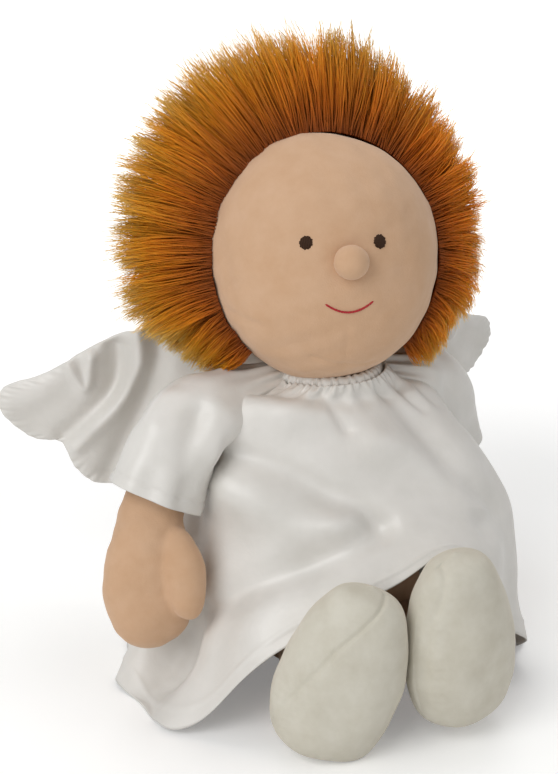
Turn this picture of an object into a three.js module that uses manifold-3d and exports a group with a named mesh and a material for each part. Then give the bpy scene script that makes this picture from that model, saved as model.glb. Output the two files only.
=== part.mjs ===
// A stuffed angel doll that sits on the floor with its legs stretched forward.
// Millimetres, +Z up. The doll faces -Y and its left side is +X.
// The origin is the middle of the flat underside of its seat.
import * as THREE from 'three';
import { mergeVertices } from 'three/addons/utils/BufferGeometryUtils.js';
import Module from 'manifold-3d';

const wasm = await Module();
wasm.setup();

// Cloth, seams and clearances
const velourWall = 1.6;
const satinWall = 1.0;
const furBacking = 1.4;
const seamGap = 0.4;
const swingGap = 0.8;
const mouthReach = 4;

// Body
const bodyHeight = 146;
const seatRadius = 37;
const hipBulge = 46;
const chestRadius = 35;
const bodyDepthShare = 0.93;
const leanSide = -9;
const leanFront = -8;

// Neck, a ball in the body's top opening with the head sewn on it
const neckRadius = 18;
const neckPivotHeight = 150;

// Head
const headCentre = new THREE.Vector3(leanSide, leanFront, 222);
const headWidth = 116;
const headDepth = 112;
const headHeight = 124;
const headTiltBack = 13;
const headTurned = -7;

// Face
const noseDiameter = 18;
const noseDrop = 0;
const eyeDiameter = 6.4;
const eyeRiseRight = 9.5;
const eyeRiseLeft = 7;
const eyeSpread = 19;
const threadHeight = 0.9;
const mouthDrop = 24;
const mouthSpread = 11;
const mouthCurl = 4.5;

// Hair, long fur on a cap that covers the back of the head
const pileAtSide = 58;
const pileAtTop = 70;
const pileAtBack = 44;
const pileLeanSide = 1.02;
const pileLeanTop = 0.8;
const napeHeight = 169;
const napeRise = 8;

// Arms
const armRadius = 15;
const wristRadius = 16.5;
const handRadius = 25;
const handFlat = 0.72;
const thumbRadius = 10;
const thumbLength = 32;
const shoulderSide = 45;
const shoulderHeight = 133;

// Legs and feet
const legRadius = 19.5;
const ankleRadius = 15.5;
const hipSide = 24;
const hipFront = 40;
const footLength = 92;
const footWidth = 62;
const footDepth = 46;
const restCut = 0.5;

// Dress
const necklineRadius = 24.5;
const necklineHeight = 160;
const casingTall = 4.2;
const casingThick = 3;
const elasticThick = 0.8;
const hemLift = 1.2;
const foldDepth = 3.2;
const foldCount = 13;
const sleeveRadius = 23;
const sleeveMouth = 27;
const sleeveLength = 66;

// Wings
const wingLength = 154;
const wingThickness = 9;
const wingRootSide = 15;
const wingRootBack = 56;
const tabThickness = 3;
const tabHeight = 56;
const tabMiddle = 112;

// Colours by material
const velourSkin = { color: 0xc9a381, roughness: 0.95, metalness: 0 };
const velourWhite = { color: 0xd8d4c6, roughness: 0.95, metalness: 0 };
const satinWhite = { color: 0xdedbd4, roughness: 0.35, metalness: 0 };
const furGinger = { color: 0x9a5a1c, roughness: 0.9, metalness: 0 };
const furCanvas = { color: 0x7a4a22, roughness: 0.95, metalness: 0 };
const threadBrown = { color: 0x3a2617, roughness: 0.6, metalness: 0 };
const threadRed = { color: 0xb0303a, roughness: 0.6, metalness: 0 };
const fillingWhite = { color: 0xf0efe9, roughness: 1, metalness: 0 };
const elasticWhite = { color: 0xe6e4de, roughness: 0.8, metalness: 0 };

const radians = THREE.MathUtils.degToRad;
const vector = (x, y, z) => new THREE.Vector3(x, y, z);

// Solids and meshes

// Turns a closed three.js geometry into a solid, with its shared points merged
function solidOf(geometry) {
  const bare = geometry.clone();
  bare.deleteAttribute('normal');
  bare.deleteAttribute('uv');
  const merged = mergeVertices(bare, 1e-3);
  const corners = merged.index.array;
  const kept = [];
  for (let i = 0; i < corners.length; i += 3) {
    const [a, b, c] = corners.slice(i, i + 3);
    if (a !== b && b !== c && a !== c) kept.push(a, b, c);
  }
  const vertProperties = new Float32Array(merged.attributes.position.array);
  const triVerts = new Uint32Array(kept);
  const solid = new wasm.Manifold(new wasm.Mesh({ numProp: 3, vertProperties, triVerts }));
  if (solid.volume() > 0) return solid;
  triVerts.reverse();
  return new wasm.Manifold(new wasm.Mesh({ numProp: 3, vertProperties, triVerts }));
}

// Keeps only the largest lump, where a cut leaves crumbs beside it
function largest(solid) {
  return solid.decompose().reduce((best, lump) => (lump.volume() > best.volume() ? lump : best));
}

function meshOf(name, solid, finish) {
  const { vertProperties, triVerts } = solid.getMesh();
  const geometry = new THREE.BufferGeometry();
  geometry.setAttribute('position', new THREE.BufferAttribute(new Float32Array(vertProperties), 3));
  geometry.setIndex(new THREE.BufferAttribute(new Uint32Array(triVerts), 1));
  geometry.computeVertexNormals();
  const mesh = new THREE.Mesh(geometry, new THREE.MeshStandardMaterial(finish));
  mesh.name = name;
  return mesh;
}

function block(low, high) {
  const size = high.clone().sub(low);
  const middle = low.clone().add(high).multiplyScalar(0.5);
  const box = new THREE.BoxGeometry(size.x, size.y, size.z);
  return solidOf(box.translate(middle.x, middle.y, middle.z));
}

function ball(centre, radius, sides = 16) {
  const sphere = new THREE.SphereGeometry(radius, sides, Math.round(sides * 0.6));
  return solidOf(sphere.translate(centre.x, centre.y, centre.z));
}

// Outlines are [radius, height] points from the lower end to the upper one, turned about +Z.
// inset draws the outline in along its own normals; an open end of an inset outline runs out past it.
function turned(outline, { inset = 0, sides = 16, steps = 12, openEnd = false } = {}) {
  const curve = new THREE.SplineCurve(outline.map(([r, z]) => new THREE.Vector2(r, z)));
  const points = [];
  for (let i = 0; i <= steps; i++) {
    const point = curve.getPoint(i / steps);
    const tangent = curve.getTangent(i / steps);
    point.x = Math.max(0, point.x - tangent.y * inset);
    point.y += tangent.x * inset;
    points.push(point);
  }
  const first = points[0];
  const last = points[points.length - 1];
  if (outline[0][0] > 0) {
    if (inset > 0) first.y = outline[0][1] + inset;
    points.unshift(new THREE.Vector2(0, first.y));
  } else {
    first.x = 0;
  }
  if (outline[outline.length - 1][0] > 0) {
    const head = openEnd && inset > 0 ? last.y + mouthReach : last.y;
    if (head > last.y) points.push(new THREE.Vector2(last.x, head));
    points.push(new THREE.Vector2(0, head));
  } else {
    last.x = 0;
  }
  return new THREE.LatheGeometry(points, sides).rotateX(Math.PI / 2);
}

// Bends a form that stands on +Z so that its axis follows a curve
function bent(geometry, curve, length) {
  const place = geometry.attributes.position;
  const front = vector(0, -1, 0);
  for (let i = 0; i < place.count; i++) {
    const height = place.getZ(i);
    const share = THREE.MathUtils.clamp(height / length, 0, 1);
    const along = curve.getTangentAt(share);
    const across = along.clone().cross(front).normalize();
    const ahead = across.clone().cross(along).normalize();
    const point = curve.getPointAt(share).addScaledVector(along, height - share * length);
    point.addScaledVector(across, place.getX(i)).addScaledVector(ahead, -place.getY(i));
    place.setXYZ(i, point.x, point.y, point.z);
  }
  return geometry;
}

// Body

const bodyOutline = [
  [seatRadius, 0],
  [seatRadius + 6, 6],
  [hipBulge, 28],
  [hipBulge, 58],
  [chestRadius + 2, 98],
  [chestRadius - 3, 124],
  [neckRadius + 3, bodyHeight - 3],
  [neckRadius - 2, bodyHeight],
];

function bodyForm(inset) {
  const form = turned(bodyOutline, { inset, sides: 16, steps: 8, openEnd: true });
  form.scale(1, bodyDepthShare, 1);
  const place = form.attributes.position;
  for (let i = 0; i < place.count; i++) {
    const share = place.getZ(i) / bodyHeight;
    place.setX(i, place.getX(i) + leanSide * share);
    place.setY(i, place.getY(i) + leanFront * share);
  }
  return solidOf(form);
}

// Neck

const neckPivot = vector(leanSide, leanFront, neckPivotHeight);

const neckOutline = [
  [0, -neckRadius],
  [neckRadius * 0.6, -neckRadius * 0.8],
  [neckRadius * 0.95, -neckRadius * 0.3],
  [neckRadius, 4],
  [neckRadius, 22],
];

function neckForm(inset) {
  const form = turned(neckOutline, { inset, sides: 14, steps: 6, openEnd: true });
  return solidOf(form.translate(neckPivot.x, neckPivot.y, neckPivot.z));
}

// Head, built about its own centre with the face towards -Y

function headForm(inset) {
  const sphere = new THREE.SphereGeometry(1, 18, 12).rotateX(Math.PI / 2);
  sphere.scale(headWidth / 2 - inset, headDepth / 2 - inset, headHeight / 2 - inset);
  return solidOf(sphere);
}

function headTurn() {
  const back = new THREE.Matrix4().makeRotationX(-radians(headTiltBack));
  const round = new THREE.Matrix4().makeRotationZ(radians(headTurned));
  return round.multiply(back);
}

// A solid of the head's own frame, moved to where the head sits
function seatedOnNeck(solid) {
  const matrix = headTurn().setPosition(headCentre);
  return solid.transform(matrix.elements);
}

// A point on the face at a rise and a turn from its middle, in degrees, and lift mm proud of it
function onFace(rise, turn, lift = 0) {
  const up = radians(rise);
  const round = radians(turn);
  const way = vector(Math.cos(up) * Math.sin(round), -Math.cos(up) * Math.cos(round), Math.sin(up));
  return way.multiply(vector(headWidth / 2 + lift, headDepth / 2 + lift, headHeight / 2 + lift));
}

function eyeForm(rise, turn) {
  const disc = new THREE.SphereGeometry(eyeDiameter / 2, 10, 6).scale(1, 1, threadHeight / eyeDiameter);
  const middle = onFace(rise, turn, 0);
  const away = new THREE.Quaternion().setFromUnitVectors(vector(0, 0, 1), middle.clone().normalize());
  disc.applyQuaternion(away).translate(middle.x, middle.y, middle.z);
  return solidOf(disc).subtract(headForm(-seamGap * 0.5));
}

function noseForm() {
  const middle = onFace(-noseDrop, 0, noseDiameter * 0.28);
  return ball(middle, noseDiameter / 2, 12).subtract(headForm(-seamGap));
}

function mouthForm() {
  const points = [];
  for (let i = 0; i <= 4; i++) {
    const across = i / 2 - 1;
    const rise = -mouthDrop + mouthCurl * across * across;
    points.push(onFace(rise, mouthSpread * across, threadHeight));
  }
  const thread = new THREE.Shape();
  thread.absarc(0, 0, threadHeight * 0.6, 0, Math.PI * 2, false);
  const extrudePath = new THREE.CatmullRomCurve3(points);
  const arc = new THREE.ExtrudeGeometry(thread, { steps: 8, curveSegments: 4, extrudePath });
  return solidOf(arc).subtract(headForm(-seamGap * 0.5));
}

// Hair

// The side of the head behind the hairline
function behindHairline() {
  return block(vector(-200, 0, -200), vector(200, 200, 200));
}

// What the nape leaves free above the collar and the wings, rising towards the back
function aboveNape(solid) {
  const low = new THREE.BoxGeometry(400, 400, 200).translate(0, 0, -100);
  low.rotateX(radians(napeRise)).translate(0, 0, napeHeight);
  return largest(solid.subtract(solidOf(low)).subtract(neckForm(-swingGap)));
}

// Where a strand that is rooted at a direction from the head's middle ends, as long and as leaned as the fur is there
function pileEnd(way) {
  const upward = THREE.MathUtils.smoothstep(way.z, -0.3, 1);
  const behind = THREE.MathUtils.smoothstep(way.y, 0, 0.95);
  const fromSide = THREE.MathUtils.lerp(pileAtSide, pileAtTop, upward);
  const reach = THREE.MathUtils.lerp(fromSide, pileAtBack, behind);
  const lean = THREE.MathUtils.lerp(pileLeanSide, pileLeanTop, upward) * (1 - way.y);
  const aim = way.clone().add(vector(0, lean, 0)).setLength(reach);
  return way.clone().multiply(vector(headWidth / 2, headDepth / 2, headHeight / 2)).add(aim);
}

// The mane runs out from the hairline to the ends of the first strands and back over the ends of the others
function pileForm() {
  const rows = 9;
  const outline = [new THREE.Vector2(0, -1), new THREE.Vector2(1, 0)];
  for (let i = 1; i <= rows; i++) outline.push(new THREE.Vector2(i === rows ? 0 : 1, i));
  const mane = new THREE.LatheGeometry(outline, 22).rotateX(Math.PI / 2);
  const place = mane.attributes.position;
  for (let i = 0; i < place.count; i++) {
    const row = i % outline.length;
    const round = Math.atan2(place.getX(i), place.getY(i));
    const rise = ((row - 2) / (rows - 1)) * (Math.PI / 2);
    let point = vector(0, -1, 0);
    if (row === 1) point = vector(Math.sin(round) * headWidth, 0, Math.cos(round) * headHeight).multiplyScalar(0.5);
    if (row > 1) point = pileEnd(vector(Math.cos(rise) * Math.sin(round), Math.sin(rise), Math.cos(rise) * Math.cos(round)));
    place.setXYZ(i, point.x, point.y, point.z);
  }
  const cap = solidOf(mane).subtract(headForm(-furBacking - seamGap * 2));
  return aboveNape(seatedOnNeck(cap.intersect(behindHairline())));
}

function furBackingForm() {
  const shell = headForm(-seamGap - furBacking).subtract(headForm(-seamGap));
  return aboveNape(seatedOnNeck(shell.intersect(behindHairline())));
}

// Arms, right side first; the left one is swung back behind the skirt

const armRoutes = {
  right: [
    vector(-shoulderSide, -4, shoulderHeight),
    vector(-79, -11, 132),
    vector(-104, -24, 110),
    vector(-112, -34, 74),
    vector(-110, -37, 32),
  ],
  left: [
    vector(shoulderSide - 8, 2, shoulderHeight),
    vector(56, 20, 116),
    vector(68, 32, 92),
    vector(74, 42, 60),
    vector(76, 46, 24),
  ],
};

function armCurve(side) {
  return new THREE.CatmullRomCurve3(armRoutes[side]);
}

function armForm(side, inset) {
  const curve = armCurve(side);
  const length = curve.getLength();
  const palm = length - handRadius * 1.2;
  const outline = [
    [0, -armRadius],
    [armRadius * 0.72, -armRadius * 0.7],
    [armRadius, 0],
    [armRadius + 1, length * 0.3],
    [wristRadius, palm - handRadius * 1.3],
    [handRadius * 0.95, palm - handRadius * 0.2],
    [handRadius * 0.8, length - 10],
    [handRadius * 0.35, length - 2],
    [0, length],
  ];
  const limb = turned(outline, { inset, sides: 12, steps: 12 });
  const place = limb.attributes.position;
  for (let i = 0; i < place.count; i++) {
    const share = THREE.MathUtils.smoothstep(place.getZ(i), length * 0.55, palm);
    place.setY(i, place.getY(i) * (1 - share * (1 - handFlat)));
  }
  const arm = solidOf(bent(limb, curve, length));
  return arm.add(thumbForm(side, curve, length, inset));
}

function thumbLine(side, curve, length) {
  const root = curve.getPointAt(1 - (handRadius * 1.75) / length);
  const inward = side === 'right' ? 1 : -1;
  return [root, root.clone().add(vector(inward * thumbLength, -6, -thumbLength * 0.62))];
}

function thumbForm(side, curve, length, inset) {
  const [root, tip] = thumbLine(side, curve, length);
  const middle = root.clone().lerp(tip, 0.5);
  const reach = root.distanceTo(tip) + thumbRadius;
  const digit = new THREE.SphereGeometry(1, 10, 6);
  digit.scale(thumbRadius - inset, thumbRadius - inset, reach / 2 - inset);
  const way = tip.clone().sub(root).normalize();
  digit.applyQuaternion(new THREE.Quaternion().setFromUnitVectors(vector(0, 0, 1), way));
  return solidOf(digit.translate(middle.x, middle.y, middle.z));
}

function shoulderOf(side) {
  return armRoutes[side][0];
}

// The round end of the arm is sewn into the body's armhole, so its cover is open there
function armMouth(side) {
  const inward = side === 'right' ? 1 : -1;
  return ball(shoulderOf(side).clone().add(vector(inward * armRadius * 0.9, 0, 0)), armRadius * 0.7, 12);
}

// Legs and feet

const stance = {
  right: { side: -1, ankle: vector(-39, -89, 20), toe: vector(-34, -110, 0), lean: 13, turn: -14 },
  left: { side: 1, ankle: vector(30, -87, 29), toe: vector(28.5, -108, 9), lean: -8, turn: 22 },
};

function hipOf(side) {
  return vector(stance[side].side * hipSide, -hipFront, legRadius);
}

const footOutline = [
  [0, 0],
  [0.62, 0.03],
  [0.9, 0.16],
  [1, 0.42],
  [0.88, 0.68],
  [0.55, 0.92],
  [0, 1],
];

// A foot stands on its heel with the sole forwards
function footForm(side, inset) {
  const { toe, lean, turn } = stance[side];
  const outline = footOutline.map(([r, z]) => [(r * footWidth) / 2, z * footLength]);
  const foot = turned(outline, { inset, sides: 14, steps: 9 });
  foot.scale(1, footDepth / footWidth, 1);
  foot.translate(0, 0, -footLength / 2);
  foot.rotateY(radians(lean));
  foot.rotateZ(radians(turn));
  foot.translate(toe.x, toe.y, toe.z + footLength / 2 - restCut);
  return solidOf(foot).subtract(floorUnder(inset));
}

// What lies under the plane that the doll rests on, drawn up by a wall's thickness inside it
function floorUnder(inset) {
  const level = Math.max(0, inset);
  return block(vector(-300, -300, -60), vector(300, 300, level));
}

function legForm(side, inset) {
  const hip = hipOf(side);
  const ankle = stance[side].ankle;
  const reach = ankle.clone().sub(hip).setLength(hip.distanceTo(ankle) + 14);
  const length = reach.length();
  const outline = [
    [0, -legRadius],
    [legRadius * 0.7, -legRadius * 0.7],
    [legRadius, 0],
    [legRadius + restCut, length * 0.35],
    [legRadius - 2, length * 0.6],
    [ankleRadius, length - 12],
    [ankleRadius, length],
  ];
  const leg = turned(outline, { inset, sides: 12, steps: 9, openEnd: true });
  const curve = new THREE.LineCurve3(hip, hip.clone().add(reach));
  return solidOf(bent(leg, curve, length)).subtract(floorUnder(inset));
}

// The opening in the foot's back where the leg is sewn to it
function ankleMouth(side, inset) {
  const hip = hipOf(side);
  const ankle = stance[side].ankle;
  const way = ankle.clone().sub(hip).normalize();
  const curve = new THREE.LineCurve3(ankle.clone().addScaledVector(way, -20), ankle.clone().addScaledVector(way, 16));
  const tube = turned([[ankleRadius - inset, 0], [ankleRadius - inset, 36]], { sides: 14, steps: 2 });
  return solidOf(bent(tube, curve, 36));
}

// The room that a leg's upper end needs as it swings down from the seat, a slot with a round back
function legSweep(side) {
  const hip = hipOf(side);
  const room = legRadius + seamGap;
  const reach = 90;
  const slot = new THREE.Shape();
  slot.moveTo(-reach, room);
  slot.lineTo(-reach, -reach);
  slot.lineTo(room, -reach);
  slot.lineTo(room, 0);
  slot.absarc(0, 0, room, 0, Math.PI / 2, false);
  const fan = new THREE.ExtrudeGeometry(slot, { depth: room * 2, bevelEnabled: false, curveSegments: 7 });
  fan.translate(0, 0, -room);
  const place = new THREE.Matrix4().makeBasis(vector(0, 1, 0), vector(0, 0, 1), vector(1, 0, 0));
  return solidOf(fan.applyMatrix4(place.setPosition(hip)));
}

// Dress, a loft from the neckline over the shoulders and lap to the hem

function ring(centre, wide, deep) {
  const points = [];
  for (let i = 0; i < 12; i++) {
    const round = (i / 12) * Math.PI * 2;
    points.push(centre.clone().add(vector(Math.sin(round) * wide, -Math.cos(round) * deep, 0)));
  }
  return points;
}

const necklineCentre = vector(leanSide, leanFront, necklineHeight);

const shoulderRing = ring(vector(leanSide, leanFront + 3, 144), 52, 39);

const lapRing = [
  vector(-3, -66, 110),
  vector(40, -62, 106),
  vector(76, -42, 94),
  vector(88, -8, 80),
  vector(70, 20, 74),
  vector(40, 44, 70),
  vector(0, 54, 70),
  vector(-42, 46, 70),
  vector(-74, 28, 74),
  vector(-88, -4, 80),
  vector(-76, -42, 84),
  vector(-42, -58, 100),
];

const hemRing = [
  vector(-4, -93, 82),
  vector(36, -86, 90),
  vector(70, -66, 72),
  vector(96, -32, hemLift),
  vector(84, 12, hemLift),
  vector(52, 54, hemLift),
  vector(0, 76, hemLift),
  vector(-66, 62, hemLift),
  vector(-108, 26, hemLift),
  vector(-124, -18, hemLift),
  vector(-109, -71, hemLift),
  vector(-60, -88, 52),
];

const dressRings = [
  ring(necklineCentre, necklineRadius, necklineRadius),
  shoulderRing,
  lapRing,
  hemRing,
].map((points) => new THREE.CatmullRomCurve3(points, true));

// What the skirt keeps clear of below the sleeves, as balls along each arm and thumb, flattened like the hand
const limbRooms = ['right', 'left'].flatMap((side) => {
  const curve = armCurve(side);
  const arm = curve.getSpacedPoints(24).map((middle, i) => {
    const share = THREE.MathUtils.smoothstep(i / 24, 0.5, 0.75);
    return { middle, room: THREE.MathUtils.lerp(wristRadius, handRadius, share) + 3, flat: 1 - share * (1 - handFlat) };
  });
  const [root, tip] = thumbLine(side, curve, curve.getLength());
  const thumb = [0.5, 0.75, 1].map((share) => ({ middle: root.clone().lerp(tip, share), room: thumbRadius + 3, flat: 1 }));
  return [...arm.slice(9), ...thumb];
});

// Cloth lies against an arm instead of passing through it
function clearOfArms(point) {
  for (const { middle, room, flat } of limbRooms) {
    const away = point.clone().sub(middle);
    away.y /= flat;
    if (away.length() >= room) continue;
    away.setLength(room);
    away.y *= flat;
    point.copy(middle).add(away);
  }
  point.z = Math.max(point.z, hemLift);
  return point;
}

function drape(round, fall) {
  const line = new THREE.CatmullRomCurve3(dressRings.map((curve) => curve.getPoint(round)));
  const point = line.getPoint(fall);
  const out = vector(point.x - leanSide, point.y, 0).normalize();
  const ripple = Math.cos(round * foldCount * Math.PI * 2) * foldDepth * fall * fall;
  point.addScaledVector(out, ripple);
  point.z = Math.max(point.z, hemLift);
  return point;
}

const dressRows = 12;
const dressSides = 32;

function besideOf(grid, row, side) {
  const above = grid[Math.max(row - 1, 0)][side];
  const below = grid[Math.min(row + 1, dressRows)][side];
  const before = grid[row][(side + dressSides - 1) % dressSides];
  const after = grid[row][(side + 1) % dressSides];
  return { above, below, before, after };
}

// The dress as rows of points from the neckline to the hem. The arms move it aside a little at a time,
// and what a point is moved by is shared with the points beside it, so that the cloth isn't creased.
function drapedCloth() {
  const rows = [...Array(dressRows + 1).keys()];
  const sides = [...Array(dressSides).keys()];
  const plain = rows.map((row) => sides.map((side) => drape(side / dressSides, row / dressRows)));
  let moved = plain.map((line) => line.map(() => vector(0, 0, 0)));
  const placed = (row, side) => clearOfArms(plain[row][side].clone().add(moved[row][side]));
  for (let pass = 0; pass < 8; pass++) {
    const pushed = plain.map((line, row) => line.map((point, side) => placed(row, side).sub(point)));
    moved = pushed.map((line, row) => line.map((own, side) => {
      const { above, below, before, after } = besideOf(pushed, row, side);
      const shared = above.clone().add(below).add(before).add(after).multiplyScalar(0.25);
      return row === 0 ? own : shared.lerp(own, 0.5);
    }));
  }
  return plain.map((line, row) => line.map((point, side) => placed(row, side)));
}

const cloth = drapedCloth();

// A point of the cloth, moved by lift mm out of its face
function onCloth(row, side, lift) {
  const { above, below, before, after } = besideOf(cloth, row, side);
  const across = after.clone().sub(before);
  const down = below.clone().sub(above);
  return cloth[row][side].clone().addScaledVector(down.cross(across).normalize(), lift);
}

// A lathe of the dress's section, draped: the outer face down to the hem and the inner face back up
function dressForm() {
  const section = [];
  for (let i = 0; i <= dressRows; i++) section.push(new THREE.Vector2(10, i));
  for (let i = dressRows; i >= 0; i--) section.push(new THREE.Vector2(9, i));
  section.push(section[0].clone());
  const fabric = new THREE.LatheGeometry(section, dressSides);
  const place = fabric.attributes.position;
  for (let i = 0; i < place.count; i++) {
    const side = Math.floor(i / section.length) % dressSides;
    const row = i % section.length;
    const inner = row > dressRows && row < section.length - 1;
    const fall = inner ? 2 * dressRows + 1 - row : row % (section.length - 1);
    const point = onCloth(fall, side, inner ? -satinWall : 0);
    place.setXYZ(i, point.x, point.y, point.z);
  }
  return solidOf(fabric);
}

// Everything inside the dress's outer face, grown a little
function dressRoom(grow) {
  const section = [new THREE.Vector2(0, 0)];
  for (let i = 0; i <= dressRows; i++) section.push(new THREE.Vector2(10, i));
  section.push(new THREE.Vector2(0, dressRows));
  const room = new THREE.LatheGeometry(section, dressSides);
  const place = room.attributes.position;
  for (let i = 0; i < place.count; i++) {
    const side = Math.floor(i / section.length) % dressSides;
    const row = i % section.length;
    let point = vector(leanSide, 0, row === 0 ? necklineHeight : hemLift);
    if (row > 0 && row < section.length - 1) point = onCloth(row - 1, side, grow);
    place.setXYZ(i, point.x, point.y, point.z);
  }
  return solidOf(room);
}

function sleeveForm(side) {
  const curve = armCurve(side);
  const length = curve.getLength();
  const tube = (less) => {
    const outline = [
      [sleeveRadius - less, 0],
      [sleeveRadius + 2 - less, sleeveLength * 0.5],
      [sleeveMouth - less, sleeveLength],
    ];
    return turned(outline, { sides: 14, steps: 5 });
  };
  const outer = solidOf(bent(tube(0), curve, length));
  const inner = tube(satinWall);
  inner.scale(1, 1, 1.2);
  inner.translate(0, 0, -sleeveLength * 0.1);
  return outer.subtract(solidOf(bent(inner, curve, length)));
}

// A hoop round the neck, turned from its section of [radius, height] points
function hoop(section) {
  const points = [...section, section[0]].map(([r, z]) => new THREE.Vector2(r, z));
  const round = new THREE.LatheGeometry(points, 20).rotateX(Math.PI / 2);
  return solidOf(round.translate(necklineCentre.x, necklineCentre.y, necklineHeight + seamGap));
}

// The neckline is turned over into a casing, open below, with the elastic that gathers it inside
function casingForm() {
  const inside = necklineRadius - casingThick / 2;
  const outside = inside + casingThick;
  const under = casingTall - satinWall;
  return hoop([
    [inside, 0],
    [inside + satinWall, 0],
    [inside + satinWall, under],
    [outside - satinWall, under],
    [outside - satinWall, 0],
    [outside, 0],
    [outside, casingTall],
    [inside, casingTall],
  ]);
}

function elasticForm() {
  const inside = necklineRadius - elasticThick / 2;
  const top = casingTall - satinWall - seamGap / 2;
  return hoop([[inside, 0], [inside + elasticThick, 0], [inside + elasticThick, top], [inside, top]]);
}

// Wings, each sewn by its root to a tab on the middle of the back

const wingOutline = [
  [0, 24],
  [0.2, 46],
  [0.42, 56],
  [0.64, 44],
  [0.84, 27],
  [0.99, 18],
  [1, 4],
  [0.9, -11],
  [0.79, -15],
  [0.74, -30],
  [0.64, -40],
  [0.4, -34],
  [0.2, -30],
  [0, -26],
];

const wingSweep = { right: 17, left: 33 };

function wingRoot(side) {
  return vector(side === 'right' ? -wingRootSide : wingRootSide, wingRootBack, tabMiddle);
}

function wingForm(side, inset) {
  const points = wingOutline.map(([u, z]) => new THREE.Vector2(u * wingLength, z));
  const shape = new THREE.Shape();
  shape.moveTo(points[0].x, points[0].y);
  shape.splineThru(points.slice(1));
  shape.closePath();
  const half = wingThickness / 2;
  const panel = new THREE.ExtrudeGeometry(shape, {
    depth: 1,
    bevelThickness: half - 0.5 - inset,
    bevelSize: half * 2,
    bevelOffset: -half * 2 - inset,
    bevelSegments: 2,
    curveSegments: 1,
  });
  panel.translate(0, 0, -0.5);
  const sweep = radians(wingSweep[side]);
  const out = vector(side === 'right' ? -Math.cos(sweep) : Math.cos(sweep), Math.sin(sweep), 0);
  const up = vector(0, 0, 1);
  const place = new THREE.Matrix4().makeBasis(out, up, out.clone().cross(up));
  return solidOf(panel.applyMatrix4(place.setPosition(wingRoot(side))));
}

// The slit in the cover's root, through which the wing is filled
function wingMouth(side) {
  const root = wingRoot(side);
  const reach = vector(wingThickness, wingThickness, 20);
  return block(root.clone().sub(reach), root.clone().add(reach));
}

// The tab fills the hollow of the back between the two wing roots
function tabForm() {
  const side = wingRootSide - swingGap;
  const low = vector(-side, wingRootBack - 24, tabMiddle - tabHeight / 2);
  return block(low, vector(side, wingRootBack + tabThickness, tabMiddle + tabHeight / 2));
}

// Assembly

const joints = [shoulderOf('right'), shoulderOf('left')].map((centre) => ball(centre, armRadius + swingGap * 1.6, 14));
const sweeps = [legSweep('right'), legSweep('left')];
const neckRoom = neckForm(-swingGap);

function seated(solid) {
  return [...joints, ...sweeps, neckRoom].reduce((rest, room) => rest.subtract(room), solid);
}

const doll = new THREE.Group();
doll.name = 'plush_angel_doll';

function add(name, solid, finish) {
  doll.add(meshOf(name, solid, finish));
}

const bodyCover = bodyForm(0).subtract(bodyForm(velourWall));
add('body_cover', largest(seated(bodyCover)), velourSkin);
add('body_filling', largest(seated(bodyForm(velourWall + seamGap))), fillingWhite);

const headRoom = seatedOnNeck(headForm(-swingGap));
add('neck_cover', largest(neckForm(0).subtract(neckForm(velourWall)).subtract(headRoom)), velourSkin);
add('neck_filling', largest(neckForm(velourWall + seamGap).subtract(headRoom)), fillingWhite);

// Head, face and hair
function addToHead(name, solid, finish) {
  add(name, seatedOnNeck(solid), finish);
}

const neckHole = turned([[neckRadius - velourWall, -headHeight], [neckRadius - velourWall, 0]], { sides: 16, steps: 1 });
const headCover = headForm(0).subtract(headForm(velourWall)).subtract(solidOf(neckHole));
addToHead('head_cover', headCover, velourSkin);
addToHead('head_filling', headForm(velourWall + seamGap), fillingWhite);
addToHead('nose', noseForm(), velourSkin);
addToHead('eye_right', eyeForm(eyeRiseRight, -eyeSpread), threadBrown);
addToHead('eye_left', eyeForm(eyeRiseLeft, eyeSpread), threadBrown);
addToHead('mouth_stitching', mouthForm(), threadRed);
add('hair_backing', furBackingForm(), furCanvas);
add('hair_pile', pileForm(), furGinger);

// Limbs and wings
for (const side of ['right', 'left']) {
  const armCover = armForm(side, 0).subtract(armForm(side, velourWall)).subtract(armMouth(side));
  add(`arm_${side}_cover`, largest(armCover), velourSkin);
  add(`arm_${side}_filling`, armForm(side, velourWall + seamGap), fillingWhite);

  const footRoom = footForm(side, -seamGap);
  const footCover = footForm(side, 0).subtract(footForm(side, velourWall)).subtract(ankleMouth(side, velourWall));
  const legCover = legForm(side, 0).subtract(legForm(side, velourWall)).subtract(footRoom);
  add(`leg_${side}_cover`, largest(legCover), velourSkin);
  add(`leg_${side}_filling`, largest(legForm(side, velourWall + seamGap).subtract(footRoom)), fillingWhite);
  add(`foot_${side}_cover`, largest(footCover), velourWhite);
  add(`foot_${side}_filling`, footForm(side, velourWall + seamGap), fillingWhite);

  const wingCover = wingForm(side, 0).subtract(wingForm(side, satinWall)).subtract(wingMouth(side));
  add(`wing_${side}_cover`, largest(wingCover), satinWhite);
  add(`wing_${side}_wadding`, wingForm(side, satinWall + seamGap), fillingWhite);
}

// Dress
const seamLine = -2;
const beforeSeam = block(vector(-300, -300, -10), vector(300, seamLine - seamGap / 2, 300));
const behindSeam = block(vector(-300, seamLine + seamGap / 2, -10), vector(300, 300, 300));
const armRooms = ['right', 'left'].map((side) => armForm(side, -swingGap));
const dress = armRooms.reduce((cloth, arm) => cloth.subtract(arm), dressForm());
add('dress_front', largest(dress.intersect(beforeSeam)), satinWhite);
add('dress_back', largest(dress.intersect(behindSeam)), satinWhite);
add('neckline_casing', casingForm(), satinWhite);
add('neckline_elastic', elasticForm(), elasticWhite);
const underDress = dressRoom(seamGap);
add('wing_tab', largest(tabForm().subtract(underDress)), satinWhite);
for (const side of ['right', 'left']) {
  add(`sleeve_${side}`, largest(sleeveForm(side).subtract(underDress)), satinWhite);
}

export default doll;
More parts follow.
